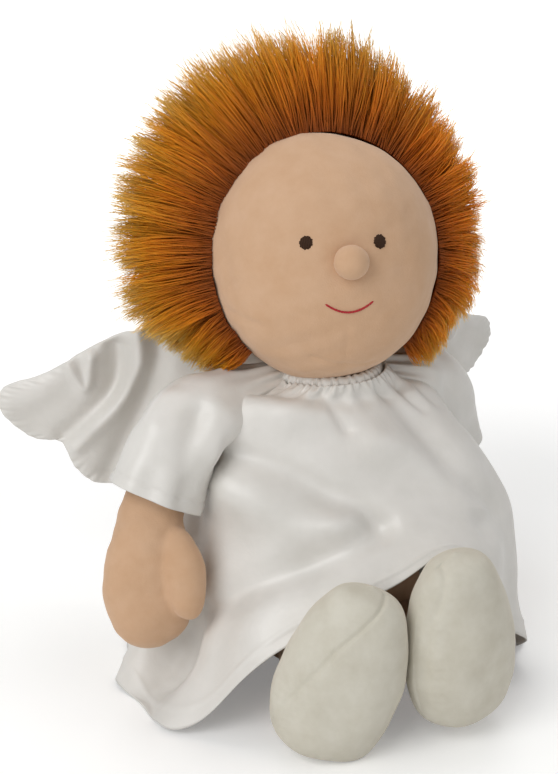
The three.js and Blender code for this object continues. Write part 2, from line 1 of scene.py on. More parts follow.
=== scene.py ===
"""The looks of a stuffed angel doll that sits with its legs forward.

It has a velour skin, a mane of long fur, and a dress and wings of satin. Lengths are in millimetres until a
mesh is finished. The doll faces -Y and its left side is +X.
"""

import math

import bmesh
import bpy
import numpy as np
from mathutils import Matrix, Vector


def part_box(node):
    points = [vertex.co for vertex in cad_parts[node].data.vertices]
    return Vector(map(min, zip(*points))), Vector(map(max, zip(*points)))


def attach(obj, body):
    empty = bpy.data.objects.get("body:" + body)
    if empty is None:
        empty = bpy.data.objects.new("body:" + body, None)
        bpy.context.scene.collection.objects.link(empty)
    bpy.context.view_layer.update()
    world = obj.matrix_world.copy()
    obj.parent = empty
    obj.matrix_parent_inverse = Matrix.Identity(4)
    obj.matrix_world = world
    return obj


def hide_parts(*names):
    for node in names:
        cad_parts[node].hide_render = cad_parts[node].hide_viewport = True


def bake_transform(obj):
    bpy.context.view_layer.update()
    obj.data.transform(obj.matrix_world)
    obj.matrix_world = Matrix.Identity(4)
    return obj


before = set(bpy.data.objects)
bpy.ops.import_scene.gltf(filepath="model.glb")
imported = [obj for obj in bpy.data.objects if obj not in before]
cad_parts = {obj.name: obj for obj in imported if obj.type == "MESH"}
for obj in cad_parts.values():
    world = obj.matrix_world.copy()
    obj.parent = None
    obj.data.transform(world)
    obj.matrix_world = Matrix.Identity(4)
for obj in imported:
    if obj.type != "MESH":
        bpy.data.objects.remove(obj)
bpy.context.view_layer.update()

MM = 0.001
FLOOR_GAP = 0.2
ROUTE_STEPS = 400
OUTLINE_STEPS = 300
FRONT = np.array([0.0, -1.0, 0.0])
UP = np.array([0.0, 0.0, 1.0])

# Head and face
HEAD_CENTRE = (-12, -8, 222)
HEAD_SIZE = (116, 112, 124)
HEAD_TILT_BACK = 13
HEAD_TURNED = -5
NOSE_DIAMETER = 17
EYE_DIAMETER = 6.6
EYES = {"eye_right": (9.5, -20.5), "eye_left": (8.2, 16.2)}
MOUTH_DROP = 23
MOUTH_SPREAD = 11
MOUTH_CURL = 3.7
MOUTH_STITCHES = 13

# Body, neck and limbs
BODY_LEAN = (-9, -8)
BODY_HEIGHT = 146
BODY_FLAT = 0.93
NECK_PIVOT = (-9, -8, 150)
NECK_RADIUS = 18
ARM_RADIUS = 15
WRIST_RADIUS = 16.5
HAND_RADIUS = 25
HAND_FLAT = 0.72
THUMB_RADIUS = 11
THUMB_LENGTH = 38
LEG_RADIUS = 19.5
LEG_IN_FOOT = 14
ANKLE_RADIUS = 15.5
FOOT_LENGTH = 92
FOOT_WIDTH = 62
FOOT_DEPTH = 46
SOLE_SEAM_DEPTH = 1.1

# Cloth
SATIN_THICK = 0.7
FINE_SATIN_THICK = 0.5
CANVAS_THICK = 0.8
CLOTH_GAP = 1.5
HEM_LIFT = 1.2
SLEEVE_HEM = 7
NECKLINE_RADIUS = 24.5
NECKLINE_HEIGHT = 160

# How many gathers, tucks below them and waves of the skirt go round the dress, and where its hem is stitched,
# as a share of the way down from the neckline
DRESS_GATHERS = 46
DRESS_TUCKS = 19
SKIRT_WAVES = 13
HEM_STITCH = 0.955

# Wings
WING_LENGTH = 154
WING_THICK = 9
WING_ROOT = (15, 56, 112)
WING_SWEEP = {"right": 17, "left": 33}

ARM_ROUTES = {
    "right": [(-45, -4, 133), (-79, -11, 132), (-104, -24, 110), (-112, -34, 74), (-110, -37, 32)],
    "left": [(37, 2, 133), (56, 20, 116), (68, 32, 92), (74, 42, 60), (76, 46, 24)],
}
LEG_ROUTES = {
    "right": {"hip": (-24, -40, 19.5), "ankle": (-39, -89, 20)},
    "left": {"hip": (24, -40, 19.5), "ankle": (30, -87, 29)},
}
# Where the low end of each foot stands, and how far the foot leans sideways and turns, in degrees
FOOT_STANCES = {
    "right": {"low_end": (-33.5, -110, 0), "lean": 17, "turn": -14},
    "left": {"low_end": (26.5, -108, 9), "lean": -6, "turn": 22},
}

# Colours, as sRGB
SKIN = "CDA98A"
VELOUR_WHITE = "D1CDC0"
SATIN = "DEDBD6"


# Curves and fields


def between(a, b, c, d, t):
    """The smooth curve from b to c, at t from 0 to 1, that comes from a and goes on to d."""
    return b + 0.5 * t * (c - a + t * (2 * a - 5 * b + 4 * c - d + t * (3 * (b - c) + d - a)))


def spline(points, shares, closed=False):
    """Points on the smooth curve through the given ones, at shares from 0 to 1 of its spans."""
    knots = np.asarray(points, float)
    count = len(knots)
    if not closed:
        knots = np.vstack([2 * knots[0] - knots[1], knots, 2 * knots[-1] - knots[-2]])
    spans = count if closed else count - 1
    along = np.asarray(shares, float) * spans
    start = np.floor(along).astype(int) if closed else np.clip(along.astype(int), 0, spans - 1)
    t = (along - start)[..., None]
    near = (knots[(start + k) % count] if closed else knots[start + k + 1] for k in (-1, 0, 1, 2))
    return between(*near, t)


def unit(vectors):
    """The directions of the vectors, each of length 1."""
    return vectors / np.maximum(np.linalg.norm(vectors, axis=-1, keepdims=True), 1e-9)


def smooth_step(low, high, value):
    """0 up to low, 1 from high on, and a soft rise between them."""
    t = np.clip((value - low) / (high - low), 0, 1)
    return t * t * (3 - 2 * t)


def lumps(points, size, seed):
    """A smooth uneven field of about -1 to 1, whose lumps are about size mm apart."""
    rng = np.random.default_rng(seed)
    total = np.zeros(points.shape[:-1])
    for _ in range(7):
        way = unit(rng.normal(size=3)) * 2 * math.pi / (size * rng.uniform(0.7, 1.4))
        total += np.cos(points @ way + rng.uniform(0, 2 * math.pi))
    return total / 3


def ridge(points, line, width):
    """1 on a line drawn through the given points, fading out within about two widths of it, in mm."""
    apart = np.full(points.shape[:-1], 1e9)
    for spot in spline(line, np.linspace(0, 1, 60)):
        apart = np.minimum(apart, np.sum((points - spot) ** 2, axis=-1))
    return np.exp(-apart / (width * width))


def on_each(points, folds):
    """The height of all the folds at the points. A fold is a line, its width and its height, in mm."""
    return sum(tall * ridge(points, line, width) for line, width, tall in folds)


def paced(route, count):
    """How far along its smooth curve, in mm, each of count even shares of a route lies."""
    line = spline(route, np.linspace(0, 1, count))
    return np.concatenate([[0], np.cumsum(np.linalg.norm(np.diff(line, axis=0), axis=1))])


def along_route(route, share, step):
    """The middle of a route at each share, and its directions there: along, sideways and ahead."""
    along = unit(spline(route, np.minimum(share + step, 1)) - spline(route, np.maximum(share - step, 0)))
    sideways = unit(np.cross(along, FRONT))
    return spline(route, share), along, sideways, unit(np.cross(sideways, along))


def along_outline(outline):
    """A radius from (reach, radius) points, as a smooth function of the reach."""
    fine = spline(outline, np.linspace(0, 1, OUTLINE_STEPS))
    reaches = np.maximum.accumulate(fine[:, 0])
    first = outline[0][0]
    return lambda reach: np.maximum(0, np.interp(reach, reaches, fine[:, 1])) * (reach >= first)


# Meshes


def mesh_of(bm, name):
    """Ends the editing of a mesh."""
    mesh = bpy.data.meshes.new(name)
    bm.to_mesh(mesh)
    bm.free()
    return mesh


def finished(name, mesh):
    """Smooth shading and a place in the scene for a mesh given in millimetres."""
    mesh.transform(Matrix.Scale(MM, 4))
    mesh.shade_smooth()
    obj = bpy.data.objects.new(name, mesh)
    bpy.context.scene.collection.objects.link(obj)
    return obj


def surface(name, across, down, place):
    """A grid bent to place(u, v), with its seam and poles closed. u runs round and v down, from 0 to 1."""
    bm = bmesh.new()
    bmesh.ops.create_grid(bm, x_segments=across, y_segments=down, size=0.5)
    flat = np.array([v.co[:2] for v in bm.verts]) + 0.5
    points = place(flat[:, 0], flat[:, 1])
    for vert, point in zip(bm.verts, points):
        vert.co = point
    bmesh.ops.remove_doubles(bm, verts=bm.verts, dist=1e-3)
    bmesh.ops.recalc_face_normals(bm, faces=bm.faces)
    return finished(name, mesh_of(bm, name))


def ball(name, radii, detail=5):
    """An even sphere stretched to three radii, round the origin, in millimetres."""
    bm = bmesh.new()
    bmesh.ops.create_icosphere(bm, subdivisions=detail, radius=1)
    bmesh.ops.scale(bm, vec=radii, verts=bm.verts)
    return finished(name, mesh_of(bm, name))


def reshaped(obj, change):
    """Moves every point of the object's mesh to change(points), in millimetres."""
    count = len(obj.data.vertices)
    flat = np.empty(count * 3)
    obj.data.vertices.foreach_get("co", flat)
    moved = change(flat.reshape(-1, 3) / MM) * MM
    obj.data.vertices.foreach_set("co", moved.ravel())
    obj.data.update()
    return obj


def pushed(obj, height):
    """Moves every point along its normal by height(points), in millimetres."""
    flat = np.empty(len(obj.data.vertices) * 3)
    obj.data.vertices.foreach_get("normal", flat)
    outward = flat.reshape(-1, 3)
    return reshaped(obj, lambda points: points + outward * height(points)[:, None])


def applied(obj):
    """The object with its modifiers made part of its mesh."""
    graph = bpy.context.evaluated_depsgraph_get()
    mesh = bpy.data.meshes.new_from_object(obj.evaluated_get(graph))
    obj.modifiers.clear()
    obj.data = mesh
    mesh.shade_smooth()
    return obj


def thickened(obj, thick, offset):
    """Gives a sheet its thickness in mm, inwards at offset -1 and to both sides at 0."""
    wall = obj.modifiers.new("cloth", "SOLIDIFY")
    wall.thickness = thick * MM
    wall.offset = offset
    return applied(obj)


def joined(name, objects):
    """One object of all the given ones' meshes."""
    bm = bmesh.new()
    for obj in objects:
        bm.from_mesh(obj.data)
        bpy.data.objects.remove(obj)
    mesh = mesh_of(bm, name)
    mesh.shade_smooth()
    whole = bpy.data.objects.new(name, mesh)
    bpy.context.scene.collection.objects.link(whole)
    return whole


def fused(obj, grain, smoothing):
    """Joins overlapping closed forms into one smoothed skin, with grain mm between its points."""
    remesh = obj.modifiers.new("fuse", "REMESH")
    remesh.mode = "VOXEL"
    remesh.voxel_size = grain * MM
    remesh.use_smooth_shade = True
    relax = obj.modifiers.new("relax", "SMOOTH")
    relax.iterations = smoothing
    return applied(obj)


# Materials


def linear(colour):
    """An sRGB hex colour as linear red, green, blue and opacity."""
    parts = [int(colour[i : i + 2], 16) / 255 for i in (0, 2, 4)]
    return [p / 12.92 if p <= 0.04045 else ((p + 0.055) / 1.055) ** 2.4 for p in parts] + [1]


def node(tree, kind, settings=None, **links):
    """Adds a node, with its settings and what feeds its inputs, which is a value or a socket.

    An input is called by its name with _ for spaces, or by its number after an i.
    """
    made = tree.nodes.new(kind)
    for key, value in (settings or {}).items():
        setattr(made, key, value)
    for key, value in links.items():
        numbered = key[0] == "i" and key[1:].isdigit()
        socket = made.inputs[int(key[1:]) if numbered else key.replace("_", " ")]
        if isinstance(value, bpy.types.NodeSocket):
            tree.links.new(value, socket)
        else:
            socket.default_value = value
    return made


def new_material(name, **values):
    """A material, its nodes and its surface, whose inputs take the values. _ stands for a space."""
    material = bpy.data.materials.new(name)
    material.use_nodes = True
    tree = material.node_tree
    shader = tree.nodes["Principled BSDF"]
    for key, value in values.items():
        shader.inputs[key.replace("_", " ")].default_value = value
    return material, tree, shader


def blended_colours(tree, share, first, second):
    """The first colour where the share is 0 and the second where it is 1."""
    return node(tree, "ShaderNodeMix", {"data_type": "RGBA"}, i0=share, i6=first, i7=second).outputs[2]


def bumped(tree, shader, *layers):
    """Raises the surface by layers of (field, strength, height in mm), each over the one before."""
    below = {}
    for field, strength, tall in layers:
        bump = node(tree, "ShaderNodeBump", Strength=strength, Distance=tall * MM, Height=field, **below)
        below = {"Normal": bump.outputs[0]}
    tree.links.new(bump.outputs[0], shader.inputs["Normal"])


def mottled(tree, colour, darker, size, where):
    """The colour, drifting a little towards the darker one in patches of size mm."""
    patches = node(tree, "ShaderNodeTexNoise", Vector=where, Scale=1 / (size * MM), Detail=3.0, Roughness=0.6)
    spread = node(tree, "ShaderNodeMapRange", i0=patches.outputs["Fac"], i1=0.3, i2=0.7)
    return blended_colours(tree, spread.outputs[0], linear(colour), linear(darker))


def velour(name, colour, darker):
    """Knitted polyester velour, cut short: matt, with a faint bloom at its edges and a patchy nap."""
    material, tree, shader = new_material(
        name, Roughness=0.95, Specular_IOR_Level=0.25,
        Sheen_Weight=0.35, Sheen_Roughness=0.45, Sheen_Tint=linear("F3E6D8"),
    )
    where = node(tree, "ShaderNodeTexCoord").outputs["Object"]
    tree.links.new(mottled(tree, colour, darker, 14, where), shader.inputs["Base Color"])
    # The pile stands 1 mm and its tufts are 0.4 mm apart, drawn at 0.8 mm so that they show
    tufts = node(tree, "ShaderNodeTexNoise", Vector=where, Scale=1 / (0.8 * MM), Detail=2.0)
    nap = node(tree, "ShaderNodeTexNoise", Vector=where, Scale=1 / (5 * MM), Detail=2.0)
    bumped(tree, shader, (nap.outputs["Fac"], 0.35, 0.5), (tufts.outputs["Fac"], 0.45, 0.25))
    return material


def satin(name, colour, darker):
    """Polyester satin, woven with long floats: a broad soft gloss over an almost white cloth."""
    material, tree, shader = new_material(
        name, Roughness=0.4, Specular_IOR_Level=0.6, Sheen_Weight=0.12, Sheen_Roughness=0.3
    )
    where = node(tree, "ShaderNodeTexCoord").outputs["Object"]
    tree.links.new(mottled(tree, colour, darker, 30, where), shader.inputs["Base Color"])
    # Crinkles left from sewing and packing, about 9 mm across, under threads drawn at 0.7 mm
    crinkle = node(tree, "ShaderNodeTexNoise", Vector=where, Scale=1 / (9 * MM), Detail=3.0, Distortion=0.8)
    threads = node(tree, "ShaderNodeTexNoise", Vector=where, Scale=1 / (0.7 * MM), Detail=1.0)
    bumped(tree, shader, (crinkle.outputs["Fac"], 0.3, 0.8), (threads.outputs["Fac"], 0.12, 0.1))
    return material


def embroidery(name, colour, darker):
    """Rayon embroidery thread laid side by side: hardly glossy, and darker between the threads."""
    material, tree, shader = new_material(name, Roughness=0.6, Specular_IOR_Level=0.15)
    where = node(tree, "ShaderNodeTexCoord").outputs["Object"]
    across = {"bands_direction": "X"}
    threads = node(
        tree, "ShaderNodeTexWave", across, Vector=where, Scale=1 / (2.4 * MM), Distortion=0.6, Detail=1.0
    ).outputs["Fac"]
    mix = blended_colours(tree, threads, linear(darker), linear(colour))
    tree.links.new(mix, shader.inputs["Base Color"])
    bumped(tree, shader, (threads, 0.6, 0.3))
    return material


def fur_fibre(name):
    """Acrylic fur fibre: reddish brown roots, orange along its length, pale gold tips, and a soft gloss."""
    material, tree, shader = new_material(name, Roughness=0.55, Specular_IOR_Level=0.3)
    spot = node(tree, "ShaderNodeUVMap", {"uv_map": "UVMap"})
    parts = node(tree, "ShaderNodeSeparateXYZ", Vector=spot.outputs[0])
    ramp = node(tree, "ShaderNodeValToRGB", Fac=parts.outputs["Y"])
    stops = [(0.0, "8A4310"), (0.22, "B4600F"), (0.48, "D08214"), (0.74, "DCA024"), (1.0, "E2C468")]
    bands = ramp.color_ramp.elements
    while len(bands) < len(stops):
        bands.new(0.5)
    for band, (place, colour) in zip(bands, stops):
        band.position = place
        band.color = linear(colour)
    # The strand's tone, from its UV's X, lightens its colour. Part of it is a random tone of the strand and
    # its lock, and part is painted light that lifts the strands on the doll's left side.
    tone_and_side_light = node(tree, "ShaderNodeMapRange", i0=parts.outputs["X"], i2=2.0, i3=0.95, i4=2.05)
    tinted = node(tree, "ShaderNodeHueSaturation", Color=ramp.outputs[0], Value=tone_and_side_light.outputs[0])
    tree.links.new(tinted.outputs[0], shader.inputs["Base Color"])
    # Light also passes through the thin fibres, so the pile is never black between its locks
    through = node(tree, "ShaderNodeBsdfTranslucent", Color=tinted.outputs[0])
    both = node(tree, "ShaderNodeMixShader", i0=0.3, i1=shader.outputs[0], i2=through.outputs[0])
    tree.links.new(both.outputs[0], tree.nodes["Material Output"].inputs["Surface"])
    return material


def plain_cloth(name, colour, darker, grain):
    """Plain knitted cloth that is hardly seen: matt, with threads grain mm apart."""
    material, tree, shader = new_material(name, Roughness=0.9)
    where = node(tree, "ShaderNodeTexCoord").outputs["Object"]
    tree.links.new(mottled(tree, colour, darker, 4 * grain, where), shader.inputs["Base Color"])
    fibres = node(tree, "ShaderNodeTexNoise", Vector=where, Scale=1 / (grain * MM), Detail=3.0)
    bumped(tree, shader, (fibres.outputs["Fac"], 0.5, 0.3))
    return material


skin_velour = velour("skin_velour", SKIN, "C7A180")
white_velour = velour("white_velour", VELOUR_WHITE, "C6C1B2")
white_satin = satin("white_satin", SATIN, "D3D0CA")
brown_thread = embroidery("brown_embroidery_thread", "3C2413", "26160B")
red_thread = embroidery("red_embroidery_thread", "C23A3E", "982A30")
ginger_fur = fur_fibre("ginger_acrylic_fur")
fur_canvas = plain_cloth("knitted_fur_backing", "B06A2C", "9A5A22", 1.2)


def dressed(obj, material, solids, body):
    """Gives a piece its finish, the solids that it stands for and the body that it rides on."""
    obj.data.materials.clear()
    obj.data.materials.append(material)
    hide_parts(*solids)
    if body:
        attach(obj, body)
    return obj


# Head and face, made round the head's own middle and then moved onto the neck

HEAD_PLACE = (
    Matrix.Translation(HEAD_CENTRE)
    @ Matrix.Rotation(math.radians(HEAD_TURNED), 4, "Z")
    @ Matrix.Rotation(-math.radians(HEAD_TILT_BACK), 4, "X")
)


def on_neck(points):
    """Points of the head's own frame, moved to where the head sits."""
    turn = np.array(HEAD_PLACE.to_3x3())
    return points @ turn.T + np.array(HEAD_CENTRE)


def face_point(rise, turn, lift=0.0):
    """A point of the face at a rise and a turn from its middle, in degrees, and lift mm proud of it."""
    up = np.radians(np.asarray(rise, float))
    round_ = np.radians(np.asarray(turn, float))
    way = np.stack([np.cos(up) * np.sin(round_), -np.cos(up) * np.cos(round_), np.sin(up)], axis=-1)
    return way * (np.array(HEAD_SIZE) / 2 + lift)


# The chin's seam and the creases of the chin and the right cheek, as lines on the face, widths and heights
FACE_CREASES = [
    (face_point([-32, -40, -48, -58], [0, 0.5, 1, 2]), 2, -0.3),
    (face_point([-49, -53, -56, -57], [-24, -12, 5, 32]), 2, -0.6),
    (face_point([-11, -9, -8], [-74, -62, -55]), 2.2, -0.5),
    (face_point([-21, -24, -28], [-78, -67, -52]), 2.6, -0.6),
]


def dimple(rise, turn, width, deep):
    """A round hollow in the face, where a stitch pulls it in, in the form that on_each takes."""
    return face_point([rise, rise + 0.1], [turn, turn + 0.1]), width, -deep


def make_head():
    """The head's skin, pulled in a little round the eyes and the nose."""
    hollows = [dimple(rise, turn, 4.5, 0.8) for rise, turn in EYES.values()] + [dimple(0, 0, 11, 1.2)]

    def place(u, v):
        points = face_point(90 - 180 * v, 360 * u)
        stuffing = 0.7 * lumps(points, 46, 3) + 0.25 * lumps(points, 15, 4)
        height = stuffing + on_each(points, FACE_CREASES + hollows)
        return on_neck(points + unit(points) * height[:, None])

    head = surface("head_skin", 380, 240, place)
    return dressed(head, skin_velour, ["head_cover", "head_filling"], "head")


def make_nose():
    """A filled ball, gathered at the back where it is sewn on."""
    middle = face_point(0, 0, NOSE_DIAMETER * 0.2)
    radius = NOSE_DIAMETER / 2
    nose = ball("nose_ball", (radius, radius, radius * 0.97), 6)

    def seat(points):
        back = smooth_step(0, radius, points[:, 1])
        angle = np.arctan2(points[:, 0], points[:, 2])
        pucker = 1 + back * (0.05 * np.cos(11 * angle) - 0.16)
        uneven = 1 + 0.012 * lumps(points, 9, 8)
        squeezed = points * np.stack([pucker * uneven, uneven, pucker * uneven], axis=-1)
        return on_neck(squeezed + middle)

    return dressed(reshaped(nose, seat), skin_velour, ["nose"], "head")


def make_eyes():
    """Embroidered dots whose edge is ragged, as their stitches end unevenly."""
    for name, (rise, turn) in EYES.items():
        middle = face_point(rise, turn, -0.5)
        away = Vector(unit(middle)).to_track_quat("Z", "Y").to_matrix()
        dot = ball(f"{name}_stitches", (EYE_DIAMETER / 2, EYE_DIAMETER / 2 * 1.05, 0.9), 5)

        def stitch(points):
            outline = np.arctan2(points[:, 1], points[:, 0])
            ragged = 1 + 0.05 * np.cos(9 * outline + rise) + 0.04 * np.cos(15 * outline)
            flat = points * np.stack([ragged, ragged, np.ones(len(points))], axis=-1)
            return on_neck(flat @ np.array(away).T + middle)

        dressed(reshaped(dot, stitch), brown_thread, [name], "head")


def make_mouth():
    """A curved row of short stitches, each of them one thread that lies along the mouth."""

    def on_mouth(share):
        return face_point(-MOUTH_DROP + MOUTH_CURL * share * share, MOUTH_SPREAD * share, 0.1)

    stitches = []
    for across in 2 * np.arange(MOUTH_STITCHES) / (MOUTH_STITCHES - 1) - 1:
        here = on_mouth(across)
        turn = Vector(on_mouth(across + 0.05) - here).to_track_quat("X", "Z").to_matrix()
        stitch = ball("stitch", (1.7, 0.55, 0.55), 2)
        reshaped(stitch, lambda points, t=turn, h=here: on_neck(points @ np.array(t).T + h))
        stitches.append(stitch)
    dressed(joined("mouth_stitches", stitches), red_thread, ["mouth_stitching"], "head")


# Body and neck, hidden by the dress but for the neck


def make_body():
    """The body's skin: a flat seat, a side that narrows upwards and a small flat top."""
    outline = [(37, 0), (43, 6), (46, 28), (46, 58), (37, 98), (32, 124), (21, 143), (16, BODY_HEIGHT)]
    seat, top = outline[0][0], outline[-1][0]

    def place(u, v):
        low, high = v < 0.1, v > 0.9
        inner = spline(outline, np.clip((v - 0.1) / 0.8, 0, 1))
        radius = np.where(low, seat * v / 0.1, np.where(high, top * (1 - v) / 0.1, inner[:, 0]))
        height = np.where(low, 0, np.where(high, BODY_HEIGHT, inner[:, 1]))
        share = height / BODY_HEIGHT
        x = radius * np.sin(2 * math.pi * u) + BODY_LEAN[0] * share
        y = -radius * np.cos(2 * math.pi * u) * BODY_FLAT + BODY_LEAN[1] * share
        return np.stack([x, y, height], axis=-1)

    body = surface("body_skin", 96, 90, place)
    return dressed(body, skin_velour, ["body_cover", "body_filling"], "torso")


def make_neck():
    """A stuffed ball, stretched upwards, that joins the body to the head."""
    neck = ball("neck_skin", (NECK_RADIUS, NECK_RADIUS, NECK_RADIUS * 1.2), 5)
    reshaped(neck, lambda points: points + np.array(NECK_PIVOT) + np.array([0, 0, 3]))
    return dressed(neck, skin_velour, ["neck_cover", "neck_filling"], "neck")


# Arms, legs and feet


def tube(name, across, down, route, ends, radius, flatness=None):
    """A closed form round a route, from ends[0] mm past its first point to ends[1] mm past its last.

    radius(reach) is its half-width that many mm along the route.
    flatness(reach) is its depth as a share of its width.
    """
    steps = np.linspace(0, 1, ROUTE_STEPS)
    pace = paced(route, ROUTE_STEPS)
    length = pace[-1]

    def place(u, v):
        reach = ends[1] * v - ends[0] * (1 - v) + v * length
        within = np.clip(reach, 0, length)
        centre, along, sideways, ahead = along_route(route, np.interp(within, pace, steps), 0.002)
        centre = centre + along * (reach - within)[:, None]
        x = radius(reach) * np.sin(2 * math.pi * u)
        y = radius(reach) * np.cos(2 * math.pi * u) * (flatness(reach) if flatness else 1)
        return centre + sideways * x[:, None] + ahead * y[:, None]

    return surface(name, across, down, place)


def thumb_line(side):
    """The middle line of the thumb, from inside the palm to its tip."""
    inward = 1 if side == "right" else -1
    root = spline(ARM_ROUTES[side], [0.62])[0] + np.array([inward * 10, -14, 1])
    return root, root + np.array([inward * 0.12, -0.24, -0.96]) * THUMB_LENGTH


def make_arm(side):
    """An arm and its mitten hand, with a thumb, as one skin."""
    route = ARM_ROUTES[side]
    length = float(paced(route, ROUTE_STEPS)[-1])
    palm = length - HAND_RADIUS * 1.2
    outline = [
        (-ARM_RADIUS, 0),
        (-ARM_RADIUS * 0.7, ARM_RADIUS * 0.72),
        (0, ARM_RADIUS),
        (length * 0.3, ARM_RADIUS + 1),
        (palm - HAND_RADIUS * 1.7, WRIST_RADIUS),
        (palm - HAND_RADIUS * 0.75, HAND_RADIUS * 0.85),
        (palm + 3, HAND_RADIUS * 0.93),
        (length - 11, HAND_RADIUS * 0.74),
        (length - 2.5, HAND_RADIUS * 0.38),
        (length, 0),
    ]

    def flatness(reach):
        return 1 - smooth_step(length * 0.55, palm, reach) * (1 - HAND_FLAT)

    limb = tube(f"limb_{side}", 64, 110, route, (ARM_RADIUS, 0), along_outline(outline), flatness)
    root, tip = thumb_line(side)
    way = Vector(tip - root)
    turn = np.array(way.to_track_quat("Z", "Y").to_matrix())
    thumb = ball("thumb", (THUMB_RADIUS, THUMB_RADIUS, (way.length + THUMB_RADIUS) / 2), 5)
    reshaped(thumb, lambda points: points @ turn.T + (root + tip) / 2)
    arm = fused(joined(f"arm_{side}_skin", [limb, thumb]), 1.3, 5)
    pushed(arm, lambda points: 0.5 * lumps(points, 24, 11) + 0.15 * lumps(points, 9, 12))
    return dressed(arm, skin_velour, [f"arm_{side}_cover", f"arm_{side}_filling"], f"arm_{side}")


def make_leg(side):
    """A straight stuffed leg whose end is hidden in the foot."""
    hip = np.array(LEG_ROUTES[side]["hip"])
    ankle = np.array(LEG_ROUTES[side]["ankle"])
    way = unit(ankle - hip)
    length = float(np.linalg.norm(ankle - hip)) + LEG_IN_FOOT
    outline = [
        (-LEG_RADIUS, 0),
        (-LEG_RADIUS * 0.7, LEG_RADIUS * 0.7),
        (0, LEG_RADIUS),
        (length * 0.35, LEG_RADIUS),
        (length * 0.6, LEG_RADIUS - 2),
        (length - 12, ANKLE_RADIUS),
        (length, ANKLE_RADIUS - 2),
        (length + 1, 0),
    ]
    route = [hip, hip + way * length / 2, hip + way * length]
    leg = tube(f"leg_{side}_skin", 72, 80, route, (LEG_RADIUS, 1), along_outline(outline))
    pushed(leg, lambda points: 0.4 * lumps(points, 18, 14))
    reshaped(leg, lambda points: np.maximum(points, [-np.inf, -np.inf, FLOOR_GAP]))
    return dressed(leg, skin_velour, [f"leg_{side}_cover", f"leg_{side}_filling"], f"leg_{side}")


# The seam across each foot's sole: shares of the foot's length from its low end, and mm from the middle
SOLE_SEAMS = {
    "right": [(0, -29), (0.28, -25), (0.44, -20), (0.68, -11), (0.92, 4), (1, 8)],
    "left": [(0, -29), (0.28, -30), (0.44, -30), (0.68, -26), (0.92, -14), (1, -8)],
}


def make_foot(side):
    """A foot sewn from two halves, with its seam across the sole and round its heel."""
    stance = FOOT_STANCES[side]
    outline = [(0, 0), (0.03, 0.62), (0.16, 0.9), (0.42, 1), (0.68, 0.88), (0.92, 0.55), (1, 0)]
    lean = np.array(Matrix.Rotation(math.radians(stance["lean"]), 3, "Y"))
    turn = np.array(Matrix.Rotation(math.radians(stance["turn"]), 3, "Z"))
    fine = spline(outline, np.linspace(0, 1, ROUTE_STEPS))

    def place(u, v):
        share = (1 - np.cos(math.pi * v)) / 2
        radius = np.interp(share, fine[:, 0], fine[:, 1]) * FOOT_WIDTH / 2
        angle = 2 * math.pi * u
        x = radius * np.sin(angle)
        y = -radius * np.cos(angle) * FOOT_DEPTH / FOOT_WIDTH
        points = np.stack([x, y, (share - 0.5) * FOOT_LENGTH], axis=-1)
        way = unit(points * [1, 2, 1])
        off_seam = x - np.interp(share, *np.array(SOLE_SEAMS[side]).T)
        seam = np.exp(-((off_seam / 1.5) ** 2)) * (y < 0)
        beside = np.exp(-(((np.abs(off_seam) - 4) / 3.0) ** 2)) * (y < 0)
        pucker = beside * np.cos(share * 120) * 0.12
        points = points + way * (pucker + 0.5 * lumps(points, 26, 20) - SOLE_SEAM_DEPTH * seam)[:, None]
        placed = points @ lean.T @ turn.T
        placed = placed + np.array(stance["low_end"]) + [0, 0, FOOT_LENGTH / 2 - 0.5]
        placed[:, 2] = np.maximum(placed[:, 2], FLOOR_GAP)
        return placed

    foot = surface(f"foot_{side}_sole_and_top", 220, 200, place)
    return dressed(foot, white_velour, [f"foot_{side}_cover", f"foot_{side}_filling"], f"leg_{side}")


# Dress


def ring(centre, wide, deep):
    """Twelve points of a level oval, from its front round over the doll's left side."""
    turns = np.linspace(0, 2 * math.pi, 12, endpoint=False)
    return np.array(centre) + np.stack([wide * np.sin(turns), -deep * np.cos(turns), 0 * turns], axis=-1)


# The dress at its neckline, over the shoulders, over the lap and at its hem, twelve points each, as in ring
DRESS_RINGS = [
    ring((BODY_LEAN[0], BODY_LEAN[1], NECKLINE_HEIGHT + 3.5), NECKLINE_RADIUS + 5, NECKLINE_RADIUS + 5),
    [
        (-9, -45, 144), (20, -41, 146), (42, -27, 146), (50, -6, 144), (38, 15, 144), (18, 30, 144),
        (-9, 35, 144), (-36, 30, 144), (-60, 15, 146), (-70, -9, 155), (-64, -31, 155), (-39, -43, 150),
    ],
    [
        (-3, -66, 110), (40, -62, 106), (76, -42, 94), (88, -8, 80), (70, 20, 74), (40, 44, 70),
        (0, 54, 70), (-42, 46, 70), (-74, 28, 74), (-88, -4, 80), (-76, -42, 84), (-42, -58, 100),
    ],
    [
        (-4, -94, 77), (36, -87.5, 87.5), (66, -76, 38), (94, -38, 1.2), (84, 12, 1.2), (52, 54, 1.2),
        (0, 76, 1.2), (-66, 62, 1.2), (-108, 26, 1.2), (-124, -18, 1.2), (-109, -71, 1.2), (-60, -91, 50),
    ],
]


def draped(u, v):
    """The dress's plain fall from the neckline over shoulders and lap to the hem."""
    rings = np.stack([spline(points, u, closed=True) for points in DRESS_RINGS], axis=0)
    spans = len(DRESS_RINGS) - 1
    ends = np.concatenate([2 * rings[:1] - rings[1:2], rings, 2 * rings[-1:] - rings[-2:-1]])
    start = np.clip((v * spans).astype(int), 0, spans - 1)
    t = (v * spans - start)[:, None]
    pick = np.arange(len(u))
    return between(*(ends[start + k, pick] for k in range(4)), t)


def uneven_waves(u, count, seed):
    """About count waves round the doll, none as wide as the next, from -1 to 1."""
    rng = np.random.default_rng(seed)
    phase = 2 * math.pi * u * count
    for k in range(1, 5):
        phase = phase + rng.uniform(0.4, 1.0) * count / 9 * np.sin(2 * math.pi * (u * k + rng.uniform())) / k
    return np.cos(phase)


